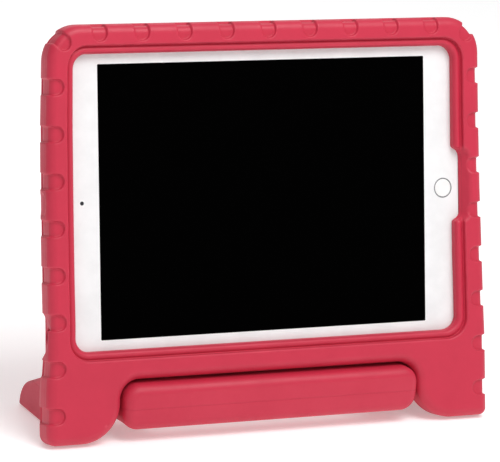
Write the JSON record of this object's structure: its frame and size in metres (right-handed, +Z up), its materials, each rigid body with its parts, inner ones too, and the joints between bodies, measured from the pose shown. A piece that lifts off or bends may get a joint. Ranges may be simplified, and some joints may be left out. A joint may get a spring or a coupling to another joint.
{
  "type": "tablet case",
  "caption": "Foam tablet case with a notched rim, two feet and a grip bar that folds round as a stand, holding a tablet with a home button.",
  "frame": {"origin": "centre of the footprint on the surface the case stands on", "axes": "+X to the right of the screen, -Y towards the viewer of the screen, +Z up"},
  "size_m": [0.262, 0.078, 0.2203],
  "materials": {
    "foam": "matte",
    "glass_border": "gloss",
    "display": "gloss",
    "metal_shell": "satin",
    "button_white": "gloss",
    "ring_metal": "polished",
    "lens": "gloss",
    "pin_steel": "satin",
    "bush_plastic": "matte",
    "port_plastic": "matte",
    "cell": "satin",
    "board": "satin"
  },
  "bodies": {
    "case": {"case_shell": "foam", "left_lug_bush": "bush_plastic", "right_lug_bush": "bush_plastic", "tablet_housing": "metal_shell", "tablet_border": "glass_border", "display_panel": "display", "home_button_ring": "ring_metal", "front_camera_lens": "lens", "rear_camera_ring": "ring_metal", "rear_camera_lens": "lens", "headphone_socket": "port_plastic", "charge_port": "port_plastic", "speaker_grilles": "port_plastic", "battery": "cell", "logic_board": "board"},
    "stand": {"handle_stand": "foam", "left_pivot_pin": "pin_steel", "right_pivot_pin": "pin_steel"},
    "home_key": {"home_button": "button_white"},
    "power_key": {"power_button": "metal_shell"},
    "volume_up_key": {"volume_up_button": "metal_shell"},
    "volume_down_key": {"volume_down_button": "metal_shell"}
  },
  "joints": [
    {"name": "stand_fold", "type": "hinge", "parent": "case", "child": "stand", "pos_m": [0, -0.00235, 0.0175], "axis": [1, 0, 0], "range_deg": [0, 101]},
    {"name": "home_press", "type": "slide", "parent": "case", "child": "home_key", "axis": [0, 0.9781, -0.2079], "range_m": [0, 0.0003], "stiffness_N_per_m": 1500},
    {"name": "power_press", "type": "slide", "parent": "case", "child": "power_key", "axis": [1, 0, 0], "range_m": [0, 0.0003], "stiffness_N_per_m": 1500},
    {"name": "volume_up_press", "type": "slide", "parent": "case", "child": "volume_up_key", "axis": [0, -0.2079, -0.9781], "range_m": [0, 0.0003], "stiffness_N_per_m": 1500},
    {"name": "volume_down_press", "type": "slide", "parent": "case", "child": "volume_down_key", "axis": [0, -0.2079, -0.9781], "range_m": [0, 0.0003], "stiffness_N_per_m": 1500}
  ]
}
